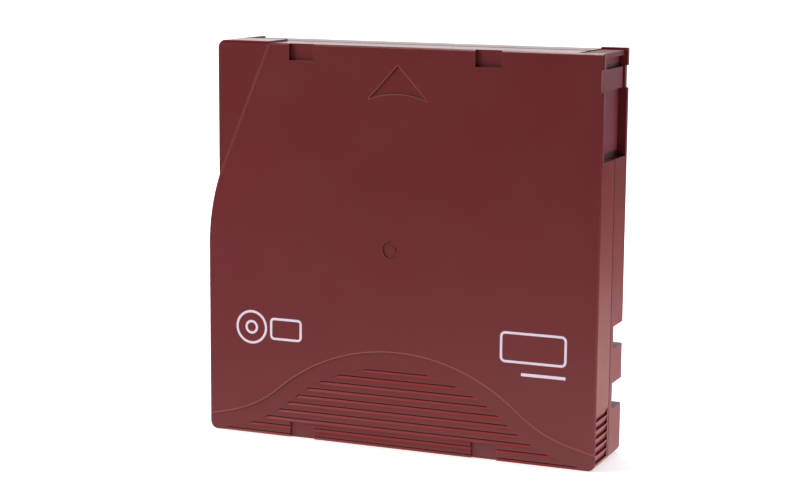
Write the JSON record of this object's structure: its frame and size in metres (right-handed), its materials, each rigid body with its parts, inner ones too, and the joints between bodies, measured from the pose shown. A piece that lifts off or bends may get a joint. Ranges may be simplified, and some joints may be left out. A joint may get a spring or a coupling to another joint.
{
  "type": "data tape cartridge",
  "caption": "Flat data tape cartridge with ribbed finger grips, a sprung sliding door over its leader pin, a lockable tape reel with a toothed drive hub, and a write-protect tab.",
  "frame": {"origin": "middle of the footprint, on the plane under the rear edge it stands on", "axes": "+X towards the side with the access door, +Z from the rear edge to the front edge that enters the drive first, -Y out of the face with the arrow, +Y out of the face with the hub opening"},
  "size_m": [0.1054, 0.0216, 0.102],
  "materials": {
    "shell": "moulded, fine spark-eroded texture",
    "door": "moulded, satin",
    "hub": "moulded, satin",
    "flange": "moulded, glossy",
    "tape": "wound film edges",
    "steel": "plain",
    "lock": "moulded",
    "pad": "moulded",
    "tab": "moulded",
    "board": "solder mask",
    "antenna": "etched copper",
    "chip": "cast resin"
  },
  "bodies": {
    "case": {"upper_shell": "shell", "lower_shell": "shell", "case_screws": "steel", "leader_pin": "steel", "leader_clip": "pad", "leader_tape": "tape", "pin_springs": "steel", "memory_board": "board", "memory_antenna": "antenna", "memory_chip": "chip", "door_spring": "steel", "brake_spring": "steel"},
    "reel": {"reel_hub": "hub", "reel_top_flange": "flange", "clutch_plate": "steel", "tape_pack": "tape"},
    "door": {"access_door": "door"},
    "brake": {"brake_disc": "lock"},
    "pad": {"release_pad": "pad"},
    "tab": {"write_tab": "tab"}
  },
  "joints": [
    {"name": "reel_spin", "type": "hinge", "parent": "case", "child": "reel", "pos_m": [-0.00125, 0, 0.0511], "axis": [0, 1, 0], "continuous": true},
    {"name": "door_slide", "type": "slide", "parent": "case", "child": "door", "axis": [0, 0, -1], "range_m": [0, 0.0165], "stiffness_N_per_m": 30, "springref_m": -0.02, "deforming": ["door_spring"]},
    {"name": "brake_lift", "type": "slide", "parent": "case", "child": "brake", "axis": [0, -1, 0], "range_m": [0, 0.002], "stiffness_N_per_m": 116, "springref_m": -0.016, "deforming": ["brake_spring"]},
    {"name": "pad_lift", "type": "slide", "parent": "reel", "child": "pad", "axis": [0, -1, 0], "range_m": [0, 0.002]},
    {"name": "tab_slide", "type": "slide", "parent": "case", "child": "tab", "axis": [1, 0, 0], "range_m": [0, 0.0052]}
  ],
  "couplings": [
    {"joint": "pad_lift", "follows": "brake_lift", "ratio": 1}
  ]
}
